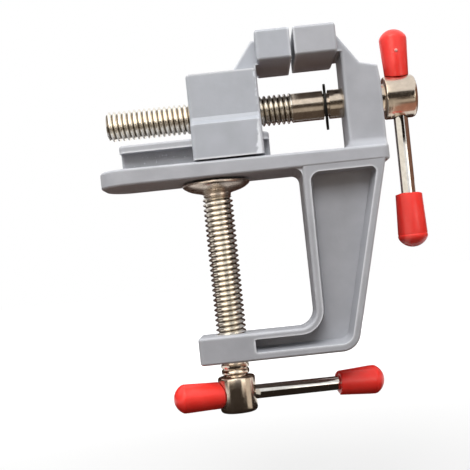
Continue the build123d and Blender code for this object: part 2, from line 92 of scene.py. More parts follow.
def rough_skin(tree, split):
    """1 on the rail's stem, where the casting's skin is rough, fading to 0 above and below it."""
    level = add(tree, "ShaderNodeMapRange", {"Value": split.outputs["Z"]},
                {"From Min": (STEM_LOW - SKIN_FADE) * MM, "From Max": (STEM_HIGH + SKIN_FADE) * MM})
    fade = 2 * SKIN_FADE / (STEM_HIGH - STEM_LOW + 2 * SKIN_FADE)
    between = add(tree, "ShaderNodeValToRGB", {"Fac": level.outputs["Result"]},
                  stops=[(0.0, 0.0), (fade, 1.0), (1 - fade, 1.0), (1.0, 0.0)])
    side = add(tree, "ShaderNodeMath", {0: split.outputs["Y"]}, operation="ABSOLUTE")
    on_stem = add(tree, "ShaderNodeMath", {0: side.outputs[0]}, {1: STEM_SIDE * MM}, operation="LESS_THAN")
    skin = add(tree, "ShaderNodeMath", {0: on_stem.outputs[0], 1: between.outputs["Color"]},
               operation="MULTIPLY")
    return skin.outputs[0]


def grey_paint(name, dark, light, flaked=None):
    """Grey spray paint on blasted die-cast aluminium: satin, cloudy by a shade, with an orange
    peel of about 1 mm, a painted highlight on each edge, dents in the rough skin painted pale as glints."""
    made, tree, shader = new_material(name)
    place = add(tree, "ShaderNodeTexCoord").outputs["Object"]
    split = add(tree, "ShaderNodeSeparateXYZ", {"Vector": place})
    cloud = add(tree, "ShaderNodeTexNoise", {"Vector": place}, {"Scale": grain(7.14), "Detail": 4.0})
    film = add(tree, "ShaderNodeValToRGB", {"Fac": cloud.outputs["Fac"]}, stops=[(0.3, dark), (0.7, light)])

    # A painted highlight: the paint turns paler within 0.9 mm of every edge, standing in for the light that
    # the rounded edges catch.
    edge_finder = add(tree, "ShaderNodeAmbientOcclusion", values={"Distance": HIGHLIGHT_REACH * MM},
                     samples=8, inside=True, only_local=True)
    patchy = add(tree, "ShaderNodeTexNoise", {"Vector": place}, {"Scale": grain(1.43), "Detail": 4.0})
    uneven = add(tree, "ShaderNodeMath", {0: patchy.outputs["Fac"]}, {1: 0.08, 2: -0.04},
                 operation="MULTIPLY_ADD")
    edge_nearness = add(tree, "ShaderNodeMath", {0: edge_finder.outputs["AO"], 1: uneven.outputs[0]}, operation="ADD")
    painted_edge_highlight = add(tree, "ShaderNodeValToRGB", {"Fac": edge_nearness.outputs[0]}, stops=[(0.68, 1.0), (0.92, 0.0)])
    with_edge_highlight = add(tree, "ShaderNodeMix", {"Factor": painted_edge_highlight.outputs["Color"], "A": film.outputs["Color"]},
                {"B": colour("#D8DBE0")}, data_type="RGBA")

    # Specks in the rail stem's rough skin: real dents, given by the bump below, painted pale (#C8CCD3) as
    # glints of light.
    grit = add(tree, "ShaderNodeTexNoise", {"Vector": place}, {"Scale": grain(0.952), "Detail": 2.0})
    pit_mask = add(tree, "ShaderNodeValToRGB", {"Fac": grit.outputs["Fac"]}, stops=[(0.64, 0.0), (0.72, 1.0)])
    dents_and_glints = add(tree, "ShaderNodeMath", {0: pit_mask.outputs["Color"], 1: rough_skin(tree, split)},
                 operation="MULTIPLY")
    painted_glints = add(tree, "ShaderNodeMix", {"Factor": dents_and_glints.outputs[0], "A": with_edge_highlight.outputs["Result"]},
                  {"B": colour("#C8CCD3")}, data_type="RGBA")
    paint = painted_glints.outputs["Result"]
    if flaked:
        paint, bare = flaked(tree, split, paint)
        tree.links.new(bare, shader.inputs["Metallic"])
    tree.links.new(paint, shader.inputs["Base Color"])

    gloss = add(tree, "ShaderNodeMapRange", {"Value": cloud.outputs["Fac"]},
                {"To Min": 0.40, "To Max": 0.52})
    tree.links.new(gloss.outputs["Result"], shader.inputs["Roughness"])
    swell = add(tree, "ShaderNodeTexNoise", {"Vector": place}, {"Scale": grain(4.17), "Detail": 2.0})
    peel = add(tree, "ShaderNodeTexNoise", {"Vector": place}, {"Scale": grain(1.0), "Detail": 2.0})
    low = add(tree, "ShaderNodeBump", {"Height": swell.outputs["Fac"]},
              {"Strength": 0.3, "Distance": 0.25 * MM})
    fine = add(tree, "ShaderNodeBump", {"Height": peel.outputs["Fac"], "Normal": low.outputs["Normal"]},
               {"Strength": 0.3, "Distance": 0.07 * MM})
    dents = add(tree, "ShaderNodeBump", {"Height": dents_and_glints.outputs[0], "Normal": fine.outputs["Normal"]},
                {"Strength": 0.8, "Distance": 0.12 * MM}, invert=True)
    tree.links.new(dents.outputs["Normal"], shader.inputs["Normal"])
    shader.inputs["IOR"].default_value = 1.5
    return made


def select_only(*pieces):
    """Makes these pieces the only ones that the next operator acts on."""
    bpy.ops.object.select_all(action="DESELECT")
    for piece in pieces:
        piece.select_set(True)
    bpy.context.view_layer.objects.active = pieces[0]


def round_nose(mesh, low, high, radius):
    """Rounds the sharp edges that lie between two corners, on the mesh that is being edited."""
    bpy.ops.mesh.select_mode(type="EDGE")
    bpy.ops.mesh.select_all(action="DESELECT")
    bpy.ops.mesh.edges_select_sharp(sharpness=math.radians(60))
    bpy.ops.object.mode_set(mode="OBJECT")
    inside = [all(low[i] * MM <= v.co[i] <= high[i] * MM for i in range(3)) for v in mesh.vertices]
    rims = [e.index for e in mesh.edges if e.select and all(inside[v] for v in e.vertices)]
    bpy.ops.object.mode_set(mode="EDIT")
    bpy.ops.mesh.select_all(action="DESELECT")
    bpy.ops.object.mode_set(mode="OBJECT")
    for index in rims:
        mesh.edges[index].select = True
    bpy.ops.object.mode_set(mode="EDIT")
    bpy.ops.mesh.bevel(offset=radius * MM, segments=4, affect="EDGES", clamp_overlap=True)
    bpy.ops.mesh.select_mode(type="VERT")


def solid_copy(node, name, edge_radius, nose=None):
    """A joined copy of a CAD node with its sharp edges rounded, as castings and pressings have.
    A nose is two corners and a radius: the edges between them get that larger round first."""
    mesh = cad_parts[node].data.copy()
    piece = bpy.data.objects.new(name, mesh)
    bpy.context.scene.collection.objects.link(piece)
    select_only(piece)
    mesh.materials.clear()
    bpy.ops.object.mode_set(mode="EDIT")
    bpy.ops.mesh.select_all(action="SELECT")
    bpy.ops.mesh.remove_doubles(threshold=0.002 * MM)
    bpy.ops.mesh.dissolve_limited(angle_limit=math.radians(0.4))
    bpy.ops.mesh.customdata_custom_splitnormals_clear()
    if nose:
        round_nose(mesh, *nose)
    bpy.ops.object.mode_set(mode="OBJECT")
    edge = piece.modifiers.new("edges", "BEVEL")
    edge.width = edge_radius * MM
    edge.segments = 3
    edge.limit_method = "ANGLE"
    edge.angle_limit = math.radians(20)
    edge.use_clamp_overlap = True
    bpy.ops.object.modifier_apply(modifier=edge.name)
    bpy.ops.object.shade_smooth_by_angle(angle=math.radians(32))
    level = piece.modifiers.new("flat faces stay flat", "WEIGHTED_NORMAL")
    level.keep_sharp = True
    bpy.ops.object.modifier_apply(modifier=level.name)
    return piece


def finish(piece, material):
    """Gives a piece, or one length of it, its finish."""
    piece.data.materials.clear()
    piece.data.materials.append(material)
    return piece


def fit(piece, body, node):
    """Hands a finished piece to its body and the CAD node it stands for."""
    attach(piece, body)
    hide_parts(node)


casting_paint = grey_paint("grey_spray_paint_on_die_cast_aluminium", "#A1A3A9", "#ACAEB4")
casting = finish(solid_copy("frame_casting", "casting", 0.35, BOSS_NOSE), casting_paint)
fit(casting, "frame", "frame_casting")

# Moving jaw: a second die casting in the same grey. It slides on the T rail, and the paint along
# its right end has flaked back to bright aluminium, wider below the step in its side.
JAW_END = 16.2
JAW_FOOT, JAW_STEP = 5.0, 17.5              # foot of the body, and the step in its side
STRIP_AT_FOOT, STRIP_AT_STEP = 2.8, 1.0     # width of the bare strip
STRIP_TOP = 31.2
STRIP_LIMIT = 5.0                           # no chip reaches further from the end
OUTER_WALL = 9.9                            # the slot inside this keeps its paint


def flaked_edge(tree, split, paint):
    """Bare aluminium in a strip with a ragged border up the jaw's right end."""
    place = add(tree, "ShaderNodeTexCoord").outputs["Object"]
    ragged = add(tree, "ShaderNodeTexNoise", {"Vector": place}, {"Scale": grain(1.613), "Detail": 5.0})
    from_end = add(tree, "ShaderNodeMapRange", {"Value": split.outputs["X"]},
                   {"From Min": (JAW_END - STRIP_LIMIT) * MM, "From Max": JAW_END * MM,
                    "To Min": STRIP_LIMIT, "To Max": 0.0})
    strip = add(tree, "ShaderNodeMapRange", {"Value": split.outputs["Z"]},
                {"From Min": JAW_FOOT * MM, "From Max": JAW_STEP * MM,
                 "To Min": STRIP_AT_FOOT, "To Max": STRIP_AT_STEP})
    border = add(tree, "ShaderNodeMath", {0: ragged.outputs["Fac"]}, {1: 3.0, 2: -1.5},
                 operation="MULTIPLY_ADD")
    reach = add(tree, "ShaderNodeMath", {0: strip.outputs["Result"], 1: border.outputs[0]}, operation="ADD")
    room = add(tree, "ShaderNodeMath", {0: reach.outputs[0], 1: from_end.outputs["Result"]},
               operation="SUBTRACT")
    chipped = add(tree, "ShaderNodeMapRange", {"Value": room.outputs[0]}, {"From Min": 0.0, "From Max": 0.5})
    side = add(tree, "ShaderNodeMath", {0: split.outputs["Y"]}, operation="ABSOLUTE")
    on_flank = add(tree, "ShaderNodeMath", {0: side.outputs[0]}, {1: OUTER_WALL * MM},
                   operation="GREATER_THAN")
    on_body = add(tree, "ShaderNodeMath", {0: split.outputs["X"]}, {1: (JAW_END + 0.3) * MM},
                  operation="LESS_THAN")
    under_top = add(tree, "ShaderNodeMath", {0: split.outputs["Z"]}, {1: STRIP_TOP * MM},
                    operation="LESS_THAN")
    shown = chipped.outputs["Result"]
    for limit in (on_flank, on_body, under_top):
        shown = add(tree, "ShaderNodeMath", {0: shown, 1: limit.outputs[0]}, operation="MULTIPLY").outputs[0]
    flaked = add(tree, "ShaderNodeMix", {"Factor": shown, "A": paint}, {"B": colour("#D9DEE6")},
                 data_type="RGBA")
    bare = add(tree, "ShaderNodeMath", {0: shown}, {1: 0.5}, operation="MULTIPLY")
    return flaked.outputs["Result"], bare.outputs[0]


jaw_paint = grey_paint("grey_spray_paint_with_flaked_end", "#A2A6AD", "#ACB0B8", flaked_edge)
sliding_jaw = finish(solid_copy("moving_jaw", "sliding_jaw", 0.3), jaw_paint)
fit(sliding_jaw, "jaw", "moving_jaw")

# Jaw screw: turned steel, nickel plated. A rolled 3/8 inch by 16 thread, a plain shank with a
# groove for the ring, and a cross-drilled head with rounded rims.
PITCH = 1.5875
THREAD_RADIUS = 4.75
THREAD_DEPTH = 0.86
THREAD_ROOT, THREAD_CREST = 0.125, 0.25     # flats, as shares of the pitch
ROOT_DARK_RISE = 0.14                             # how high the darker brown reaches in the roots
SCREW_HEIGHT = 20.4
SHANK_RADIUS = 4.55
GROOVE_START, GROOVE_END, GROOVE_RADIUS = 36.3, 38.1, 3.6
HEAD_START, HEAD_END, HEAD_RADIUS = 55.7, 65.6, 6.7
HEAD_RIM, HEAD_NOSE = 0.5, 1.4              # rounds of the head's inner and outer rims
HEAD_HOLE, HOLE_RADIUS = 60.5, 2.7


def rolled_thread(name, low, high, lead_low=0.0, lead_high=0.0):
    """A right-hand thread along Z: a flat grid rolled up, its rows following the helix. An end
    with a lead is turned down to a cone there, which starts that far below the crests."""
    steps = 60
    turns = math.ceil((high - low) / PITCH) + 2
    rows = turns * 4
    bpy.ops.object.select_all(action="DESELECT")
    bpy.ops.mesh.primitive_grid_add(x_subdivisions=steps, y_subdivisions=rows, size=2)
    piece = bpy.context.object
    piece.name = name
    flank = (1 - THREAD_ROOT - THREAD_CREST) / 2
    phase = (0.0, THREAD_ROOT, THREAD_ROOT + flank, THREAD_ROOT + flank + THREAD_CREST)
    root = THREAD_RADIUS - THREAD_DEPTH
    start = low - 1.5 * PITCH

    def profile(share):
        """The radius along one pitch: flat root, rising flank, flat crest, falling flank."""
        share = share % 1.0
        if share < phase[1]:
            return root
        if share < phase[2]:
            return root + THREAD_DEPTH * (share - phase[1]) / flank
        if share < phase[3]:
            return THREAD_RADIUS
        return THREAD_RADIUS - THREAD_DEPTH * (share - phase[3]) / flank

    for v in piece.data.vertices:
        turn = (v.co.x + 1) / 2
        row = round((v.co.y + 1) / 2 * rows)
        height = start + PITCH * (row // 4 + phase[row % 4] + turn)
        z = min(max(height, low), high)
        radius = profile((z - start) / PITCH - turn)
        if lead_low:
            radius = min(radius, THREAD_RADIUS - lead_low + (z - low))
        if lead_high:
            radius = min(radius, THREAD_RADIUS - lead_high + (high - z))
        angle = 2 * math.pi * turn
        v.co = Vector((radius * math.cos(angle), radius * math.sin(angle), z)) * MM
    bpy.ops.object.mode_set(mode="EDIT")
    bpy.ops.mesh.select_all(action="SELECT")
    bpy.ops.mesh.remove_doubles(threshold=0.001 * MM)
    bpy.ops.mesh.dissolve_degenerate(threshold=0.0005 * MM)
    bpy.ops.mesh.select_all(action="DESELECT")
    bpy.ops.mesh.select_non_manifold(extend=False, use_wire=False, use_boundary=True,
                                     use_multi_face=False, use_non_contiguous=False, use_verts=False)
    bpy.ops.mesh.fill_holes(sides=0)
    bpy.ops.mesh.select_all(action="SELECT")
    bpy.ops.mesh.normals_make_consistent(inside=False)
    bpy.ops.object.mode_set(mode="OBJECT")
    return piece


def turned(name, profile, steps=72):
    """A piece turned on a lathe about Z: a circle drawn up through each (height, radius) in mm."""
    first_height, first_radius = profile[0]
    bpy.ops.object.select_all(action="DESELECT")
    bpy.ops.mesh.primitive_circle_add(vertices=steps, radius=first_radius * MM, fill_type="NGON",
                                      location=(0, 0, first_height * MM))
    piece = bpy.context.object
    piece.name = name
    bpy.ops.object.transform_apply(location=True, rotation=True, scale=True)
    bpy.ops.object.mode_set(mode="EDIT")
    bpy.ops.mesh.select_all(action="SELECT")
    height, radius = first_height, first_radius
    for next_height, next_radius in profile[1:]:
        bpy.ops.mesh.extrude_region_move(
            TRANSFORM_OT_translate={"value": (0, 0, (next_height - height) * MM)})
        grow = next_radius / radius
        bpy.ops.transform.resize(value=(grow, grow, 1), center_override=(0, 0, next_height * MM))
        height, radius = next_height, next_radius
    bpy.ops.mesh.select_all(action="SELECT")
    bpy.ops.mesh.normals_make_consistent(inside=False)
    bpy.ops.object.mode_set(mode="OBJECT")
    return piece


def rounded_corner(height, radius, size, start, end, steps=5):
    """Points of a round between two angles, for a turned profile."""
    angles = [math.radians(start + (end - start) * i / steps) for i in range(steps + 1)]
    return [(height + size * math.sin(a), radius + size * math.cos(a)) for a in angles]


def drilled(piece, place, axis, radius, length=40.0):
    """A round hole cut through a piece, with the drill's clean edge."""
    bpy.ops.object.select_all(action="DESELECT")
    bpy.ops.mesh.primitive_cylinder_add(vertices=64, radius=radius * MM, depth=length * MM)
    drill = bpy.context.object
    turn = Vector((0, 0, 1)).rotation_difference(Vector(axis)).to_matrix().to_4x4()
    drill.data.transform(Matrix.Translation(Vector(place) * MM) @ turn)
    select_only(piece)
    hole = piece.modifiers.new("hole", "BOOLEAN")
    hole.operation = "DIFFERENCE"
    hole.solver = "EXACT"
    hole.object = drill
    bpy.ops.object.modifier_apply(modifier=hole.name)
    bpy.data.objects.remove(drill)
    return piece


def joined(name, *pieces):
    """The lengths of one turned piece, joined and shaded as one."""
    select_only(*pieces)
    if len(pieces) > 1:
        bpy.ops.object.join()
    pieces[0].name = name
    bpy.ops.object.shade_smooth_by_angle(angle=math.radians(30))
    return pieces[0]


def lay_along(piece, matrix):
    """Puts a piece that was made upright into its place, with the place kept in its mesh."""
    piece.data.transform(matrix)
    piece.data.update()
    return piece


def nickel(name, light, dark, rough, axis_point=None, across=(1, 1, 0)):
    """Bright nickel plate on turned steel: a warm white metal, faintly blotched and scratched.
    On a thread, which gives a point on its axis, the bottom of the roots is darker brown."""
    made, tree, shader = new_material(name)
    place = add(tree, "ShaderNodeTexCoord").outputs["Object"]
    blotch = add(tree, "ShaderNodeTexNoise", {"Vector": place}, {"Scale": grain(2.38), "Detail": 4.0})
    tone = add(tree, "ShaderNodeValToRGB", {"Fac": blotch.outputs["Fac"]},
               stops=[(0.35, dark), (0.65, light)])
    metal = tone.outputs["Color"]
    # On a thread, the bottom of the roots turns darker brown.
    if axis_point is not None:
        root = THREAD_RADIUS - THREAD_DEPTH
        moved = add(tree, "ShaderNodeVectorMath", {0: place}, {1: axis_point}, operation="SUBTRACT")
        flat = add(tree, "ShaderNodeVectorMath", {0: moved.outputs[0]}, {1: across}, operation="MULTIPLY")
        radius = add(tree, "ShaderNodeVectorMath", {0: flat.outputs[0]}, operation="LENGTH")
        above_root_dark = add(tree, "ShaderNodeMapRange", {"Value": radius.outputs["Value"]},
                       {"From Min": root * MM, "From Max": (root + ROOT_DARK_RISE) * MM})
        root_darkened = add(tree, "ShaderNodeMix", {"Factor": above_root_dark.outputs["Result"], "B": metal},
                    {"A": colour("#6A6054")}, data_type="RGBA")
        metal = root_darkened.outputs["Result"]
    tree.links.new(metal, shader.inputs["Base Color"])
    shader.inputs["Metallic"].default_value = 1.0
    scratch = add(tree, "ShaderNodeTexNoise", {"Vector": place}, {"Scale": grain(0.769), "Detail": 3.0})
    span = add(tree, "ShaderNodeMapRange", {"Value": scratch.outputs["Fac"]},
               {"To Min": rough * 0.6, "To Max": rough * 1.4})
    tree.links.new(span.outputs["Result"], shader.inputs["Roughness"])
    bump = add(tree, "ShaderNodeBump", {"Height": scratch.outputs["Fac"]},
               {"Strength": 0.15, "Distance": 0.03 * MM})
    tree.links.new(bump.outputs["Normal"], shader.inputs["Normal"])
    return made


ALONG_X = Matrix.Translation((0, 0, SCREW_HEIGHT * MM)) @ Matrix.Rotation(math.radians(90), 4, "Y")
plain_nickel = nickel("nickel_plate_on_turned_steel", "#DACCBC", "#CDBFAF", 0.2)
# The threads' nickel is painted much lighter than the head's: a lit copy of the same plate, standing in for
# the brighter look of the threads under the light.
jaw_thread_nickel_painted_lighter = nickel("nickel_plate_painted_lighter_on_jaw_thread", "#F8F4EC", "#ECE6DC", 0.24,
                           (0, 0, SCREW_HEIGHT * MM), (0, 1, 1))
thread = rolled_thread("jaw_thread", -32.2, 26.4, lead_low=0.75)
shank = turned("jaw_shank", [
    (25.9, 3.9), (26.1, 4.2), (26.5, SHANK_RADIUS),
    (GROOVE_START - 0.05, SHANK_RADIUS), (GROOVE_START, SHANK_RADIUS - 0.05), (GROOVE_START, GROOVE_RADIUS),
    (GROOVE_END, GROOVE_RADIUS), (GROOVE_END, SHANK_RADIUS - 0.05), (GROOVE_END + 0.05, SHANK_RADIUS),
    (HEAD_START + 0.4, SHANK_RADIUS)])
inner_rim = rounded_corner(HEAD_START + HEAD_RIM, HEAD_RADIUS - HEAD_RIM, HEAD_RIM, -90, 0, 3)
outer_rim = rounded_corner(HEAD_END - HEAD_NOSE, HEAD_RADIUS - HEAD_NOSE, HEAD_NOSE, 0, 90, 6)
head = turned("jaw_head", inner_rim + outer_rim + [(HEAD_END, 4.0), (HEAD_END - 0.1, 3.4)])
head = drilled(head, (0, 0, HEAD_HOLE), (1, 0, 0), HOLE_RADIUS)
finish(thread, jaw_thread_nickel_painted_lighter)
finish(shank, plain_nickel)
finish(head, plain_nickel)
jaw_screw = lay_along(joined("jaw_screw", thread, shank, head), ALONG_X)
fit(jaw_screw, "jaw_screw", "main_screw")

# Spring ring: a stamped open ring of hardened steel, blackened, snapped into the shank's groove
# by its three tabs. It hangs a little skew.


def black_oxide(name):
    """Black oxide on spring steel: a thin dark film, uneven by a shade, with a dull metal shine."""
    made, tree, shader = new_material(name)
    place = add(tree, "ShaderNodeTexCoord").outputs["Object"]
    film = add(tree, "ShaderNodeTexNoise", {"Vector": place}, {"Scale": grain(2.0), "Detail": 3.0})
    tone = add(tree, "ShaderNodeValToRGB", {"Fac": film.outputs["Fac"]},
               stops=[(0.3, "#121212"), (0.7, "#262523")])
    tree.links.new(tone.outputs["Color"], shader.inputs["Base Color"])
    shader.inputs["Metallic"].default_value = 0.6
    shader.inputs["Roughness"].default_value = 0.42
    return made


ring = finish(solid_copy("retaining_ring", "spring_ring", 0.12), black_oxide("black_oxide_on_spring_steel"))
fit(ring, "ring", "retaining_ring")

# Cross bars: drawn steel, chromed, with rounded ends, one through each screw head and free to
# slide. They are the brightest metal on the vise.
BAR_RADIUS = 2.25
BAR_HALF = 31.3
BAR_END_RADIUS = 0.4
JAW_BAR_MIDDLE = 7.3         # height of the upright bar's middle
CLAMP_BAR_MIDDLE = 14.2      # the lying bar's middle, along it from the clamp screw's axis
CLAMP_BAR_YAW, CLAMP_BAR_DROOP = math.radians(12.0), math.radians(1.6)
CLAMP_HEAD_RADIUS = 5.9
CLAMP_HEAD_HOLE = -67.8


def chrome(name):
    """Bright chrome on drawn steel: near mirror, faintly clouded by a shade."""
    made, tree, shader = new_material(name)
    place = add(tree, "ShaderNodeTexCoord").outputs["Object"]
    faint = add(tree, "ShaderNodeTexNoise", {"Vector": place}, {"Scale": grain(1.43), "Detail": 3.0})
    tone = add(tree, "ShaderNodeValToRGB", {"Fac": faint.outputs["Fac"]},
               stops=[(0.3, "#D2CFCA"), (0.7, "#E2E0DC")])
    tree.links.new(tone.outputs["Color"], shader.inputs["Base Color"])
    shader.inputs["Metallic"].default_value = 1.0
    span = add(tree, "ShaderNodeMapRange", {"Value": faint.outputs["Fac"]}, {"To Min": 0.06, "To Max": 0.14})
    tree.links.new(span.outputs["Result"], shader.inputs["Roughness"])
    return made


def cross_bar(name):
    """A round bar along Z about the origin, its two ends rounded."""
    height = BAR_HALF - BAR_END_RADIUS
    flat = BAR_RADIUS - BAR_END_RADIUS
    low_end = [(-BAR_HALF, 0.5)] + rounded_corner(-height, flat, BAR_END_RADIUS, -90, 0, 4)
    high_end = rounded_corner(height, flat, BAR_END_RADIUS, 0, 90, 4) + [(BAR_HALF, 0.5)]
    return joined(name, turned(name, low_end + high_end))


bar_chrome = chrome("chrome_on_drawn_steel")
JAW_BAR = Matrix.Translation((HEAD_HOLE * MM, 0, JAW_BAR_MIDDLE * MM))
jaw_bar = finish(lay_along(cross_bar("jaw_bar"), JAW_BAR), bar_chrome)
fit(jaw_bar, "jaw_handle", "main_handle_bar")

bar_turn = Matrix.Rotation(CLAMP_BAR_YAW, 4, "Z") @ Matrix.Rotation(CLAMP_BAR_DROOP, 4, "Y")
CLAMP_BAR = (Matrix.Translation((0, 0, CLAMP_HEAD_HOLE * MM)) @ bar_turn
             @ Matrix.Translation((CLAMP_BAR_MIDDLE * MM, 0, 0)) @ Matrix.Rotation(math.radians(90), 4, "Y"))
clamp_bar = finish(lay_along(cross_bar("clamp_bar"), CLAMP_BAR), bar_chrome)
fit(clamp_bar, "clamp_handle", "clamp_handle_bar")

# Vinyl caps: dip-moulded soft red vinyl, stretched over the bars' ends. Each swells a little
# from its cut mouth to a crease, then closes in a dome. Two of them seat on a screw's round
# head, and their soft mouths follow it.
CAP_END = 3.3                # vinyl past the bar's end
CAP_GAP = 0.02
SNUG_MOUTH, FULL_MOUTH = 7.5, 8.4
CAP_WRAP = 0.85              # share of a round head's curve that a seated cap's mouth follows
SEAT_GAP = 0.2
DOME_HEIGHT = 0.38           # dome's height over the cap's largest diameter
DOME_SHOULDER = 0.6          # dome's shoulder radius over its height
GATE_SIDE, GATE_HEIGHT = -4.02, 34.4
FLIP = Matrix.Rotation(math.radians(180), 4, "X")


def red_vinyl(name, stretch, light="#FF423A", dark="#F8352D"):
    """Soft PVC dip moulding: strong red, satin gloss, a little light let through, and faint
    drag lines along it from the mould, about 1.4 mm apart."""
    made, tree, shader = new_material(name)
    place = add(tree, "ShaderNodeTexCoord").outputs["Object"]
    cloud = add(tree, "ShaderNodeTexNoise", {"Vector": place}, {"Scale": grain(6.25), "Detail": 3.0})
    tone = add(tree, "ShaderNodeValToRGB", {"Fac": cloud.outputs["Fac"]}, stops=[(0.3, dark), (0.7, light)])
    tree.links.new(tone.outputs["Color"], shader.inputs["Base Color"])
    shader.inputs["Roughness"].default_value = 0.30
    shader.inputs["IOR"].default_value = 1.53
    shader.inputs["Subsurface Weight"].default_value = 0.35
    shader.inputs["Subsurface Radius"].default_value = (1.0, 0.2, 0.15)
    shader.inputs["Subsurface Scale"].default_value = 3 * MM
    drawn = add(tree, "ShaderNodeMapping", {"Vector": place}, {"Scale": stretch})
    drag = add(tree, "ShaderNodeTexNoise", {"Vector": drawn.outputs["Vector"]},
               {"Scale": grain(1.43), "Detail": 2.0})
    bump = add(tree, "ShaderNodeBump", {"Height": drag.outputs["Fac"]},
               {"Strength": 0.35, "Distance": 0.12 * MM})
    tree.links.new(bump.outputs["Normal"], shader.inputs["Normal"])
    return made


def dome_line(base, tip, swell, steps=6):
    """Points up a dome: a tight shoulder arc that runs into a flatter crown arc."""
    height = tip - base
    shoulder = DOME_SHOULDER * height
    inset = swell / 2 - shoulder
    crown = (height ** 2 + inset ** 2 - shoulder ** 2) / (2 * (height - shoulder))
    lean = math.atan2(inset, crown - height)
    points = []
    for i in range(steps + 1):
        angle = math.pi / 2 + (lean - math.pi / 2) * i / steps
        points.append((base + shoulder * math.cos(angle), inset + shoulder * math.sin(angle)))
    for i in range(1, steps):
        angle = lean * (1 - i / steps)
        points.append((tip - crown + crown * math.cos(angle), crown * math.sin(angle)))
    return points + [(tip, 0.05)]


def head_skirt(head_radius, mouth):
    """How far a seated cap's mouth reaches down round the curve of a screw's head."""
    return CAP_WRAP * (head_radius - math.sqrt(head_radius ** 2 - (mouth / 2) ** 2))


def soft_cap(name, length, mouth, swell, crease, skirt=0.0, ragged=0.0):
    """A cap for the bar's upper end, drawn upright: bore, mouth, wall, crease and dome. Mouth
    and swell are diameters. A ragged mouth was cut roughly, so its edge wanders up and down."""
    tip = BAR_HALF + CAP_END
    start = tip - length - skirt
    base = tip - DOME_HEIGHT * swell
    bore = BAR_RADIUS + CAP_GAP
    bore_end = BAR_HALF + CAP_GAP
    lip, side = mouth / 2, swell / 2
    inside = [(bore_end, 0.3), (bore_end, bore), (start + 0.4, bore), (start + 0.02, bore + 0.35)]
    rim = [(start, lip - 0.3), (start + 0.12, lip - 0.06), (start + 0.35, lip)]
    wall = [
        (start + 0.4 * (base - start), lip + 0.36 * (side - lip)),
        (base - 0.75, side - crease / 5),
        (base - 0.4, side - crease),
        (base - 0.12, side - crease / 5),
    ]
    cap = turned(name, inside + rim + wall + dome_line(base, tip, swell))
    for v in cap.data.vertices:
        if ragged and v.co.z < (start + 0.45) * MM:
            angle = math.atan2(v.co.y, v.co.x)
            wave = 1 + 0.6 * math.sin(2 * angle + 0.8) + 0.4 * math.sin(5 * angle)
            v.co.z += 0.5 * ragged * wave * MM
    return cap


def seated(cap, place, axis, radius):
    """A cap's mouth, shaped by the round head that it seats on, with its edge softened."""
    drilled(cap, place, axis, radius + SEAT_GAP)
    edge = cap.modifiers.new("edges", "BEVEL")
    edge.width = 0.12 * MM
    edge.segments = 2
    edge.limit_method = "ANGLE"
    edge.angle_limit = math.radians(50)
    bpy.ops.object.modifier_apply(modifier=edge.name)
    return cap


upright_vinyl = red_vinyl("red_dip_moulded_vinyl_upright", (1.0, 1.0, 0.06))
lying_vinyl = red_vinyl("red_dip_moulded_vinyl_lying", (0.25, 1.0, 1.0))
# The gate nub's pale pink is a painted highlight, where the light catches it.
gate_highlight_vinyl = red_vinyl("red_vinyl_painted_highlight_at_gate", (1.0, 1.0, 1.0), "#FFA8A1", "#FF9A92")

upper_cap = soft_cap("jaw_cap_top", length=14.6, mouth=SNUG_MOUTH, swell=8.75, crease=0.03,
                     skirt=head_skirt(HEAD_RADIUS, SNUG_MOUTH))
upper_cap = seated(lay_along(upper_cap, JAW_BAR), (HEAD_HOLE, 0, SCREW_HEIGHT), (1, 0, 0), HEAD_RADIUS)
gate = turned("jaw_cap_gate", [(0, 0.55), (0.2, 0.5), (0.32, 0.3), (0.36, 0.1)], steps=24)
gate = lay_along(gate, Matrix.Translation((HEAD_HOLE * MM, GATE_SIDE * MM, GATE_HEIGHT * MM))
                 @ Matrix.Rotation(math.radians(90), 4, "X"))
finish(upper_cap, upright_vinyl)
finish(gate, gate_highlight_vinyl)
fit(joined("jaw_cap_top", upper_cap, gate), "jaw_handle", "main_cap_upper")

lower_cap = soft_cap("jaw_cap_low", length=17.1, mouth=FULL_MOUTH, swell=9.4, crease=0.12, ragged=0.3)
lower_cap = joined("jaw_cap_low", lay_along(lower_cap, JAW_BAR @ FLIP))
fit(finish(lower_cap, upright_vinyl), "jaw_handle", "main_cap_lower")

near_cap = soft_cap("clamp_cap_near", length=14.3, mouth=FULL_MOUTH, swell=9.1, crease=0.03,
                    skirt=head_skirt(CLAMP_HEAD_RADIUS, FULL_MOUTH))
near_cap = lay_along(near_cap, CLAMP_BAR @ FLIP)
near_cap = joined("clamp_cap_near", seated(near_cap, (0, 0, CLAMP_HEAD_HOLE), (0, 0, 1), CLAMP_HEAD_RADIUS))
fit(finish(near_cap, lying_vinyl), "clamp_handle", "clamp_cap_left")

far_cap = soft_cap("clamp_cap_far", length=15.6, mouth=7.9, swell=9.4, crease=0.1, ragged=0.55)
far_cap = joined("clamp_cap_far", lay_along(far_cap, CLAMP_BAR))
fit(finish(far_cap, lying_vinyl), "clamp_handle", "clamp_cap_right")

# Clamp screw: the same turned and plated steel. A riveted swivel end, the long thread, a short
# neck with two turned rings under the arm, and the cross-drilled head.
SWIVEL_RADIUS = 3.0
BUTTON_LOW, BUTTON_HIGH, BUTTON_RADIUS, BUTTON_EDGE = -2.35, -1.05, 4.5, 0.65
NECK_RING = 4.4
CLAMP_HEAD_LOW, CLAMP_HEAD_TOP = -73.5, -62.1
LOW_ROUND, TOP_ROUND = 1.2, 0.8

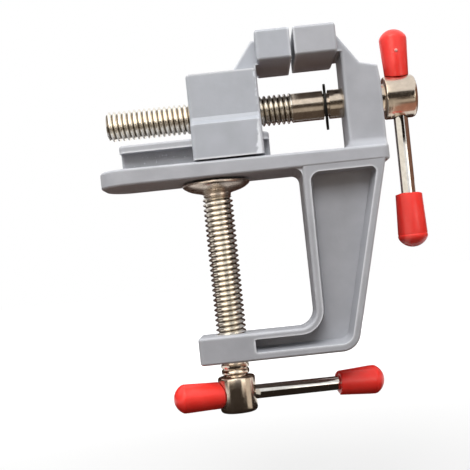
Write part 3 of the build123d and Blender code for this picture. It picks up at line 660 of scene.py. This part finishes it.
# Painted lighter than the plain nickel, a lit copy as on the jaw thread.
clamp_thread_nickel_painted_lighter = nickel("nickel_plate_painted_lighter_on_clamp_thread", "#F8F4EC", "#ECE6DC", 0.24, (0, 0, 0))
button = [(BUTTON_LOW, BUTTON_RADIUS)]
button += rounded_corner(BUTTON_HIGH - BUTTON_EDGE, BUTTON_RADIUS - BUTTON_EDGE, BUTTON_EDGE, 0, 90, 4)
swivel = turned("swivel_end", [(-5.4, SWIVEL_RADIUS), (BUTTON_LOW, SWIVEL_RADIUS)] + button
                + [(BUTTON_HIGH, 0.5)], steps=48)
long_thread = rolled_thread("clamp_thread", -57.6, -5.05, lead_high=0.5)
neck = turned("clamp_neck", [
    (-62.4, 3.4), (-61.7, 3.4), (-61.5, 4.0), (-61.2, 4.35), (-60.2, NECK_RING), (-60.0, 4.3),
    (-59.85, 4.0), (-59.6, 4.0), (-59.45, 4.3), (-59.2, NECK_RING), (-58.4, NECK_RING), (-58.2, 4.1),
    (-57.0, 4.05)])
low_rim = rounded_corner(CLAMP_HEAD_LOW + LOW_ROUND, CLAMP_HEAD_RADIUS - LOW_ROUND, LOW_ROUND, -90, 0, 6)
top_rim = rounded_corner(CLAMP_HEAD_TOP - TOP_ROUND, CLAMP_HEAD_RADIUS - TOP_ROUND, TOP_ROUND, 0, 90, 5)
knob = turned("clamp_head", [(CLAMP_HEAD_LOW, 0.4)] + low_rim + top_rim + [(CLAMP_HEAD_TOP, 3.0)])
hole_line = Vector((math.cos(CLAMP_BAR_YAW), math.sin(CLAMP_BAR_YAW), 0))
knob = drilled(knob, (0, 0, CLAMP_HEAD_HOLE), hole_line, HOLE_RADIUS)
finish(long_thread, clamp_thread_nickel_painted_lighter)
for plain_length in (swivel, neck, knob):
    finish(plain_length, plain_nickel)
clamp_screw = joined("clamp_screw_piece", swivel, long_thread, neck, knob)
fit(clamp_screw, "clamp_rod", "clamp_screw")

# Swivel pad: a pressed and plated steel cup, held loosely by the screw's riveted end. It bears on
# the underside of the table top with its flat rim and stays still there while the screw turns.
PAD_FLOOR, PAD_BORE = -2.4, 3.05

pad_nickel = nickel("nickel_plate_on_pressed_steel", "#CFC2B5", "#BAAC9F", 0.3)
cup = [(PAD_FLOOR, PAD_BORE), (PAD_FLOOR, 5.3), (-0.7, 7.4)]
rim = [(-0.6, 7.6), (-0.6, 10.35), (-0.68, 10.58), (-0.85, 10.65), (-1.3, 10.65), (-1.5, 10.55)]
cone = [(-1.9, 10.1), (-2.5, 9.2), (-3.0, 8.1), (-3.4, 6.8), (-3.7, 5.6), (-3.95, 4.7)]
hub = [(-4.2, 4.4), (-4.8, 4.35), (-5.0, 4.2), (-5.0, PAD_BORE), (PAD_FLOOR, PAD_BORE)]
pad = joined("clamp_pad_piece", turned("clamp_pad_piece", cup + rim + cone + hub, steps=96))
bpy.ops.object.mode_set(mode="EDIT")
bpy.ops.mesh.select_all(action="SELECT")
bpy.ops.mesh.remove_doubles(threshold=0.001 * MM)
bpy.ops.mesh.select_all(action="DESELECT")
bpy.ops.mesh.select_face_by_sides(number=4, type="GREATER")
bpy.ops.mesh.delete(type="ONLY_FACE")       # the disc left across the bore, where the profile closes
bpy.ops.object.mode_set(mode="OBJECT")
fit(finish(pad, pad_nickel), "pad", "clamp_pad")

# Studio: a pale floor low enough for the clamp screw run right down, under a white backdrop. Soft
# lamps stand round it, and cards that only the metal sees, as a product photographer sets them.
FLOOR_HEIGHT = -116.5
CARD_FLOOR = -73.5           # height of the floor cards, at the clamp screw's foot
LAMPS_AIM = (10, 0, -10)
CARD_WHITE = "#FFF8EC"


def seen_straight(tree):
    """1 for what the camera sees, straight or by way of metal or glass, and 0 for other light."""
    rays = add(tree, "ShaderNodeLightPath")
    seen = rays.outputs["Is Camera Ray"]
    for way in ("Is Glossy Ray", "Is Transmission Ray"):
        seen = add(tree, "ShaderNodeMath", {0: seen, 1: rays.outputs[way]}, operation="MAXIMUM").outputs[0]
    return seen


def lamp(name, place, size, power, tint=(1.0, 1.0, 1.0)):
    """A soft lamp that lights the paint and the vinyl. The metal sees the cards instead."""
    light = bpy.data.lights.new(name, "AREA")
    light.shape = "RECTANGLE"
    light.size, light.size_y = size[0] * MM, size[1] * MM
    light.energy = power
    light.color = tint
    holder = bpy.data.objects.new(name, light)
    bpy.context.scene.collection.objects.link(holder)
    holder.location = Vector(place) * MM
    direction = Vector(LAMPS_AIM) - Vector(place)
    holder.rotation_euler = direction.to_track_quat("-Z", "Y").to_euler()
    holder.visible_glossy = False


def flat_square(name, size=1.0):
    """A level square about the origin, its side in metres."""
    bpy.ops.object.select_all(action="DESELECT")
    bpy.ops.mesh.primitive_plane_add(size=size, location=(0, 0, 0))
    square = bpy.context.object
    square.name = name
    return square


def card(name, low, high, tint, glow=1.0):
    """A flat card between two corners, seen by the metal alone."""
    low, high = Vector(low) * MM, Vector(high) * MM
    size = high - low
    flag = flat_square(name)
    if size.z:
        flag.data.transform(Matrix.Rotation(math.radians(90), 4, "X" if size.x else "Y"))
    flag.data.transform(Matrix.Diagonal((size.x or 1, size.y or 1, size.z or 1, 1)))
    flag.data.transform(Matrix.Translation((low + high) / 2))
    made, tree, shade = new_material(name, "ShaderNodeEmission")
    shade.inputs["Color"].default_value = colour(tint)
    shade.inputs["Strength"].default_value = glow
    finish(flag, made)
    flag.visible_camera = False
    flag.visible_diffuse = False
    flag.visible_transmission = False
    flag.visible_shadow = False


def pale_paper(name):
    """Matt paper that glows white to the camera and the metal, its glow weaker round the vise, where
    the shadow falls. It gives back only a dim warm light, so the vise isn't lit from below."""
    made, tree, shader = new_material(name)
    shader.inputs["Roughness"].default_value = 0.9
    shader.inputs["Specular IOR Level"].default_value = 0.0
    seen = seen_straight(tree)
    place = add(tree, "ShaderNodeTexCoord").outputs["Object"]
    away = add(tree, "ShaderNodeVectorMath", {0: place}, operation="LENGTH")
    fade = add(tree, "ShaderNodeMapRange", {"Value": away.outputs["Value"]},
               {"From Min": 120 * MM, "From Max": 700 * MM, "To Min": 0.6, "To Max": 1.0},
               interpolation_type="SMOOTHSTEP")
    glow = add(tree, "ShaderNodeMath", {0: fade.outputs["Result"], 1: seen}, operation="MULTIPLY")
    tone = add(tree, "ShaderNodeMix", {"Factor": seen}, {"A": colour("#64554B"), "B": colour("#8C8C8C")},
               data_type="RGBA")
    tree.links.new(tone.outputs["Result"], shader.inputs["Base Color"])
    shader.inputs["Emission Color"].default_value = colour("#FFFFFF")
    tree.links.new(glow.outputs[0], shader.inputs["Emission Strength"])
    return made


floor = finish(flat_square("floor", 12.0), pale_paper("pale_floor"))
floor.data.transform(Matrix.Translation((0, 0, FLOOR_HEIGHT * MM)))

lamp("key", (-220, -400, 850), (700, 700), 7.9, (1.0, 0.995, 0.98))
lamp("front", (50, -850, 770), (600, 500), 8.5)
lamp("left", (-900, -250, 300), (500, 500), 1.6)
lamp("right", (900, -100, 300), (500, 500), 2.5)
lamp("back", (-100, 1000, 250), (600, 500), 7.0)

# Dark cards close by draw the dark band along each round piece, and two light ones edge it.
card("dark_before_thread", (-50, -100, -3), (-16, -100, 21.5), "#2A241E")
card("dark_before_shank", (16, -40, 15.4), (52.5, -40, 30), "#352D25")
card("dark_ahead_of_head", (45, -50, 11.5), (92, -50, 37), "#1E1813")
card("dark_beside_clamp_head", (-20, -20, -73.5), (10, -20, -62.5), "#332C26")
card("dark_under_shank", (17, -14, 7.5), (45, 4, 7.5), "#5A5048")
card("light_beside_clamp_head", (8.5, -9, -73.5), (8.5, -4.2, -62), "#E0D7CA")
card("bright_beside_bar", (57.4, -16, -30), (57.4, -1, 14.5), CARD_WHITE, 1.1)

# The floor that the metal sees is a patchwork of cards: dark far off and under the vise, paler
# in between.
for name, low, high, tint in (
    ("mid_floor_left", (-600, -300), (30, -60), "#857D73"),
    ("light_floor_shank", (30, -350), (70, -60), "#C4BDB2"),
    ("light_floor_head", (70, -220), (600, -120), "#D2CABE"),
    ("dark_floor_head", (70, -120), (600, -85), "#7A665A"),
    ("brown_floor_head", (55, -85), (600, 10), "#B58472"),
    ("dark_floor_far_left", (-600, -1200), (30, -300), "#4A4038"),
    ("dark_floor_far_shank", (30, -1200), (70, -350), "#4A4038"),
    ("dark_floor_far_head", (70, -1200), (600, -220), "#4A4038"),
    ("dark_floor_left", (-35, -60), (8, 10), "#2E2621"),
    ("dark_floor_right", (8, -60), (55, 10), "#2A221D"),
):
    card(name, (*low, CARD_FLOOR), (*high, CARD_FLOOR), tint)

# Brown cards stand behind and beside the vise, and bright ones outside them give the highlights.
card("brown_behind", (-140, 50, -70), (90, 50, -2), "#3B2620")
card("brown_behind_heads", (10, 50, -2), (120, 50, 45), "#5A3528")
card("brown_left", (-140, -100, -70), (-140, 50, -2), "#4A2A1C")
card("brown_right", (160, -100, -50), (160, 100, 70), "#84604F")
card("bright_left", (-500, -350, -70), (-60, -350, 35), CARD_WHITE, 2.8)
card("bright_right", (200, -350, -70), (700, -350, 50), CARD_WHITE, 2.6)
card("bright_over_thread", (-200, -350, 55), (10, -350, 600), CARD_WHITE, 3.2)
card("bright_roof", (-200, -350, 600), (10, 50, 600), CARD_WHITE, 2.2)

world = bpy.data.worlds.new("studio")
world.use_nodes = True
bpy.context.scene.world = world
tree = world.node_tree
tree.nodes.clear()
ambient = add(tree, "ShaderNodeBackground", values={"Color": colour("#FFFFFF"), "Strength": 0.14})
backdrop = add(tree, "ShaderNodeBackground", values={"Color": colour("#FFFFFF"), "Strength": 1.0})
both = add(tree, "ShaderNodeMixShader",
           {0: seen_straight(tree), 1: ambient.outputs[0], 2: backdrop.outputs[0]})
add(tree, "ShaderNodeOutputWorld", {"Surface": both.outputs[0]})

# Camera: square on to the vise, 277 mm from its middle plane, rolled six degrees. Its shift sets
# the vise in the picture where the photograph has it.
PICTURE = 470
EYE = Vector((10.0, -277.0, -30.0)) * MM
ROLL = math.radians(6.0)
lens = bpy.data.cameras.new("camera")
camera = bpy.data.objects.new("camera", lens)
bpy.context.scene.collection.objects.link(camera)
lens.sensor_width = 36.0
lens.sensor_fit = "HORIZONTAL"
lens.lens = 66.84
lens.shift_x = -21.9 / PICTURE
lens.shift_y = 36.7 / PICTURE
lens.clip_start = 10 * MM
camera.matrix_world = Matrix((
    (math.cos(ROLL), math.sin(ROLL), 0, EYE.x),
    (0, 0, -1, EYE.y),
    (-math.sin(ROLL), math.cos(ROLL), 0, EYE.z),
    (0, 0, 0, 1),
))
bpy.context.scene.camera = camera
bpy.context.scene.view_settings.view_transform = "Standard"
